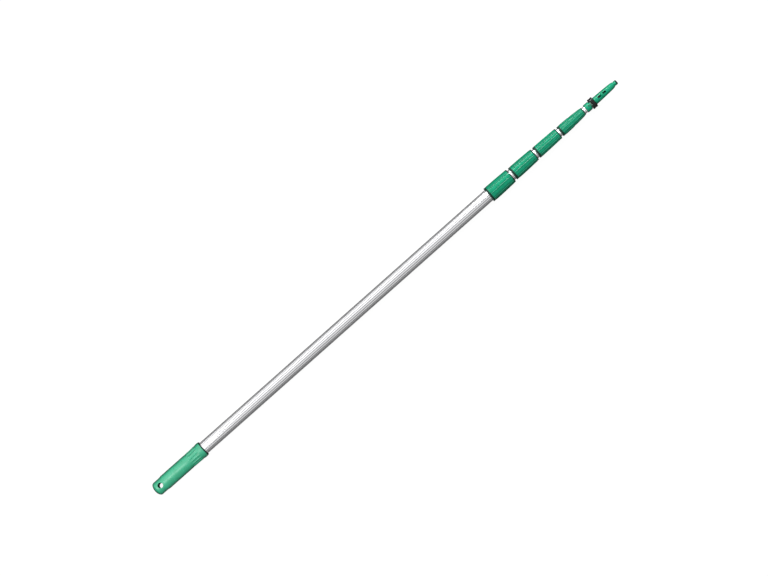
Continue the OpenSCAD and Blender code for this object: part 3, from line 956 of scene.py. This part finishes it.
def make_release_ring():
    """The black ring: a band that flattens towards each side into a finger wing, swept back."""
    bore = CORE_R + 0.06 * MM
    sweep = RING_BACK - EAR_BACK
    flatness = 2.8

    def reach(turn):
        """How far the wings stand out past the band at this turn."""
        side = abs(math.sin(turn) / EAR_R) ** flatness + abs(math.cos(turn) / RING_R) ** flatness
        return side ** (-1 / flatness) - RING_R

    # each corner: place, radius, share of the sweep back and share of the reach that it takes
    corners = [
        (RING_FRONT, bore, 0, 0), (RING_FRONT, bore + 0.4 * MM, 0, 0),
        (RING_FRONT, RING_R - 1.8 * MM, 0, 0.8), (RING_FRONT - 0.3 * MM, RING_R - 0.9 * MM, 0, 0.92),
        (RING_FRONT - 0.9 * MM, RING_R - 0.3 * MM, 0, 0.98), (RING_FRONT - 1.8 * MM, RING_R, 0, 1),
        (35.5 * MM, RING_R - 0.5 * MM, 0.15, 0.97), (33 * MM, RING_R - 0.7 * MM, 0.35, 0.94),
        (30.5 * MM, RING_R - 0.5 * MM, 0.65, 0.96), (RING_BACK + 1.6 * MM, RING_R, 0.9, 1),
        (RING_BACK + 0.7 * MM, RING_R - 0.2 * MM, 1, 0.98),
        (RING_BACK + 0.2 * MM, RING_R - 0.6 * MM, 1, 0.93), (RING_BACK, RING_R - 1.2 * MM, 1, 0.8),
        (RING_BACK + 0.3 * MM, RING_R - 0.5 * MM, 0.9, 0.05),
        (RING_BACK + 0.3 * MM, RING_R - 0.5 * MM, 0, 0), (RING_BACK, RING_R - 1.2 * MM, 0, 0),
        (RING_BACK, RING_POCKET_R + 0.3 * MM, 0, 0), (RING_BACK + 0.3 * MM, RING_POCKET_R, 0, 0),
        (RING_POCKET, RING_POCKET_R, 0, 0), (RING_POCKET, bore, 0, 0),
    ]
    sides = 288
    mesh = bmesh.new()
    rings = []
    for z, r, back_share, out_share in corners:
        ring = []
        for s in range(sides):
            turn = 2 * math.pi * s / sides
            out = reach(turn)
            back = sweep * smooth_step(0.9 * MM, 3.2 * MM, out)
            ring.append(mesh.verts.new(around(at_head(z - back * back_share), r + out * out_share, turn)))
        rings.append(ring)
    skin(mesh, rings, closed=True)
    settle(
        new_object("winged_ring", mesh), "release", "black_plastic", RING_BLACK, "release_ring", sharp=45
    )
    # the tongue runs along the cone's channel and ends in the bump that works the lever
    root = RING_POCKET + 0.2 * MM
    bump_from, bump_to = 60 * MM, 64 * MM
    low, under, over, high = 4.3 * MM, 8.6 * MM, 10.2 * MM, 12 * MM
    outline = [
        (root, under), (bump_from, under), (bump_from, low), (bump_to, low), (bump_to, over),
        (RING_FRONT, over), (RING_FRONT, high), (root, high),
    ]
    tongue = extruded(
        "ring_tongue", [(at_head(z), h) for z, h in outline], CHANNEL_HALF - 1 * MM, 0.3 * MM
    )
    settle(tongue, "release", "black_plastic", RING_BLACK)


def make_lever():
    """The latch lever, with the nose that shows between the cone's two windows."""
    # in mm: from the back of the head, and over the axis
    outline = [
        (45, -3), (45, 4.2), (55, 4.2), (60, 3.5), (65, 3.5), (70, 11.6), (71.5, 13.3), (75, 13.3),
        (78, 10.8), (78, 3), (84, 3), (86, 1), (86, -2), (82, -3),
    ]
    lever = extruded(
        "lever_with_nose", [(at_head(z * MM), h * MM) for z, h in outline],
        CHANNEL_HALF - 0.3 * MM, 0.45 * MM
    )
    mesh = bmesh.new()
    bmesh.ops.create_cone(
        mesh, segments=48, radius1=PIVOT_R, radius2=PIVOT_R, depth=20 * MM, cap_ends=True
    )
    for v in mesh.verts:
        v.co = Vector((at_head(PIVOT_AT) + v.co.x, v.co.z, AXIS_Z + v.co.y))
    carved(lever, new_object("pin_hole", mesh))
    settle(lever, "latch", "cone_plastic", CONE_GREEN, "latch_lever")


def coil(name, start, axis, across, wire_r, mean_r, length, turns):
    """A coil spring from start along axis, its end turns closer; across is square to the axis."""
    steps = 28                                # round one turn
    sides = 10                                # round the wire
    past = 0.12                               # the more of this, the more even the turns
    axis, across = Vector(axis), Vector(across)
    third = axis.cross(across)
    mesh = bmesh.new()
    rings = []
    total = steps * turns
    rise = length - 2 * wire_r
    low, high = smooth_step(-past, 1 + past, 0), smooth_step(-past, 1 + past, 1)
    for i in range(total + 1):
        lift = smooth_step(-past, 1 + past, i / total)
        along = wire_r + rise * (lift - low) / (high - low)
        a = 2 * math.pi * i / steps
        outward = across * math.cos(a) + third * math.sin(a)
        centre = Vector(start) + axis * along + outward * mean_r
        rings.append([
            mesh.verts.new(centre + (outward * math.cos(b) + axis * math.sin(b)) * wire_r)
            for b in (2 * math.pi * j / sides for j in range(sides))
        ])
    skin(mesh, rings)
    mesh.faces.new(rings[0])
    mesh.faces.new(rings[-1])
    return new_object(name, mesh)


def make_springs():
    """The spring behind the release ring and the small one under the lever."""
    back = at_head(BASE_LEN + 0.1 * MM)
    length = RING_POCKET - BASE_LEN - 0.2 * MM
    push = coil("ring_push_spring", (back, 0, AXIS_Z), (1, 0, 0), (0, 0, 1),
                0.5 * MM, (CORE_R + RING_POCKET_R) / 2, length, 5)
    settle(push, "section_5", "bright_steel", BRIGHT_STEEL, "ring_spring")
    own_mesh(push)
    floor = AXIS_Z - 9.1 * MM
    lift = coil("lever_lift_spring", (at_head(66 * MM), 0, floor), (0, 0, 1), (1, 0, 0),
                0.35 * MM, 2.3 * MM, 6.0 * MM, 5)
    settle(lift, "section_5", "bright_steel", BRIGHT_STEEL, "latch_spring")
    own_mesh(lift)


def make_cone_rivet():
    """The domed rivet in the cone's base."""
    low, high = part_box("cone_rivet")
    shank_r = 2 * MM
    head_r = 2.6 * MM
    dome = 0.5 * MM
    foot = low.z - AXIS_Z
    top = BASE_R + dome
    outline = [
        (foot, 0), (foot, shank_r), (BASE_R - dome, shank_r), (BASE_R - 0.1 * MM, head_r),
        *(
            (top - dome * (1 - math.cos(a)), head_r * math.cos(math.pi / 2 - a))
            for a in (math.radians(90 - 15 * i) for i in range(1, 6))
        ),
        (top, 0),
    ]
    rivet = upright("base_rivet", (low.x + high.x) / 2, outline, 40)
    settle(rivet, "section_5", "dark_steel", DARK_STEEL, "cone_rivet")


def finish_inner_nodes():
    """The CAD nodes whose shape is kept, with the finish of what each is made of."""
    finishes = {
        "butt_plug": INNER_BLACK, "grip_rivet": BRIGHT_STEEL, "lever_pin": BRIGHT_STEEL,
        **{f"collar_{k}_socket": DARK_GREEN_END_SHADE for k in range(1, COLLARS + 1)},
        **{f"collar_{k}_jaw": PALE_ACETAL for k in range(1, COLLARS + 1)},
        **{f"collar_{k}_rivets": BRIGHT_STEEL for k in range(1, COLLARS + 1)},
        **{f"guide_bush_{k}": PALE_ACETAL for k in range(2, SECTIONS + 1)},
        **{f"stop_ring_{k}": INNER_BLACK for k in range(2, SECTIONS + 1)},
    }
    for name, material in finishes.items():
        item = frame["nodes"][name]
        item.data.materials.clear()
        item.data.materials.append(material)


# ---------------------------------------------------------------- studio


def make_studio():
    """A pale floor, a sky of long soft strips that run the way the pole does, and two lamps.

    The camera sees the floor and the sky as plain white. The pole sees a grey floor and the strips.
    """
    mesh = bmesh.new()
    half = 30.0
    corners = ((-half, -half), (half, -half), (half, half), (-half, half))
    mesh.faces.new([mesh.verts.new((x, y, 0)) for x, y in corners])
    floor = new_object("floor", mesh)
    material, tree, pale = blank_material("pale floor")
    pale.inputs["Base Color"].default_value = (0.10, 0.10, 0.10, 1)
    pale.inputs["Roughness"].default_value = 1.0
    pale.inputs["Specular IOR Level"].default_value = 0.0
    pale.inputs["Emission Color"].default_value = (1, 1, 1, 1)
    pale.inputs["Emission Strength"].default_value = 0.94
    # the pole sees a grey table, as it would with the white laid in behind it
    grey = node(tree, "ShaderNodeBsdfDiffuse")
    grey.inputs["Color"].default_value = (0.20, 0.20, 0.20, 1)
    seen = node(tree, "ShaderNodeLightPath")
    either = node(tree, "ShaderNodeMixShader")
    link(
        tree,
        (seen.outputs["Is Camera Ray"], either.inputs[0]),
        (grey.outputs[0], either.inputs[1]),
        (pale.outputs[0], either.inputs[2]),
        (either.outputs[0], tree.nodes["Material Output"].inputs["Surface"]),
    )
    floor.data.materials.append(material)

    world = bpy.data.worlds.new("soft studio")
    bpy.context.scene.world = world
    world.use_nodes = True
    sky = world.node_tree
    place = node(sky, "ShaderNodeTexCoord")
    parts = node(sky, "ShaderNodeSeparateXYZ")
    link(sky, (place.outputs["Generated"], parts.inputs[0]))
    from_top = math_node(sky, "ARCTAN2", parts.outputs["Y"], parts.outputs["Z"])
    across = ramp(sky, from_top, -math.pi / 2, math.pi / 2, smooth=False)
    strips = node(sky, "ShaderNodeValToRGB")
    strips.color_ramp.interpolation = "EASE"
    # where on the half circle from -Y over the top to +Y, and how bright
    stops = (
        (0.0, 0.16), (0.12, 0.37), (0.28, 0.43), (0.45, 0.47),
        (0.54, 0.64), (0.62, 1.00), (0.82, 1.00), (1.0, 0.16),
    )
    for place_at, _ in stops[2:]:
        strips.color_ramp.elements.new(place_at)
    for element, (place_at, level) in zip(strips.color_ramp.elements, stops):
        element.position = place_at
        element.color = (level, level, level, 1)
    # the strips stop short of both ends of the pole, so that faces which look along it go dark
    along = math_node(sky, "ABSOLUTE", parts.outputs["X"])
    overhead, at_ends = 1.8, 0.18
    open_sky = ramp(sky, along, 0.55, 0.95, overhead, at_ends)
    plain = node(sky, "ShaderNodeBackground")
    looked_at = node(sky, "ShaderNodeLightPath")
    sky_or_plain = node(sky, "ShaderNodeMixShader")
    link(
        sky,
        (across, strips.inputs[0]),
        (strips.outputs[0], sky.nodes["Background"].inputs["Color"]),
        (open_sky, sky.nodes["Background"].inputs["Strength"]),
        (looked_at.outputs["Is Camera Ray"], sky_or_plain.inputs[0]),
        (sky.nodes["Background"].outputs[0], sky_or_plain.inputs[1]),
        (plain.outputs[0], sky_or_plain.inputs[2]),
        (sky_or_plain.outputs[0], sky.nodes["World Output"].inputs["Surface"]),
    )
    plain.inputs["Color"].default_value = (1, 1, 1, 1)

    distance = 1.1
    # name, place along the pole, degrees from overhead towards +Y, length, width, watts
    boxes = (
        ("over the grip", -1.22, 1, 0.36, 0.5, 4.6),
        ("beside the collars", 0.95, 46, 0.7, 0.15, 8.5),
    )
    for name, x, lean, length, width, watts in boxes:
        lamp = bpy.data.lights.new(name, "AREA")
        lamp.shape = "RECTANGLE"
        lamp.size = length
        lamp.size_y = width
        lamp.energy = watts
        box = bpy.data.objects.new(name, lamp)
        bpy.context.scene.collection.objects.link(box)
        lean = math.radians(lean)
        box.location = (x, distance * math.sin(lean), AXIS_Z + distance * math.cos(lean))
        box.rotation_euler = (-lean, 0, 0)


def make_camera():
    """A long lens high over the pole, rolled so that the tip points to the upper right."""
    roll = math.radians(41.585)
    off_upright = math.radians(7)
    frame_width = 2.611                       # metres across the picture at the pole
    lens = 120
    sensor = 36
    aim_right, aim_up = -6.45 * MM, -5.4 * MM
    aside = Vector((0, math.cos(off_upright), math.sin(off_upright)))
    back = Vector((0, -math.sin(off_upright), math.cos(off_upright)))
    right = Vector((math.cos(roll), 0, 0)) - aside * math.sin(roll)
    up = Vector((math.sin(roll), 0, 0)) + aside * math.cos(roll)
    middle = Vector((0, 0, AXIS_Z)) + right * aim_right + up * aim_up
    data = bpy.data.cameras.new("camera")
    data.lens = lens
    data.sensor_width = sensor
    data.clip_end = 60
    camera = bpy.data.objects.new("camera", data)
    bpy.context.scene.collection.objects.link(camera)
    bpy.context.scene.camera = camera
    camera.rotation_euler = Matrix((right, up, back)).transposed().to_euler()
    camera.location = middle + back * (frame_width * lens / sensor)


# ---------------------------------------------------------------- assembly

make_camera()
make_studio()
make_grip()
for section in range(1, SECTIONS + 1):
    make_tube(section)
for collar in range(1, COLLARS + 1):
    make_sleeve(collar)
make_cone()
make_release_ring()
make_lever()
make_springs()
make_cone_rivet()
finish_inner_nodes()
bpy.context.scene.view_settings.view_transform = "Standard"
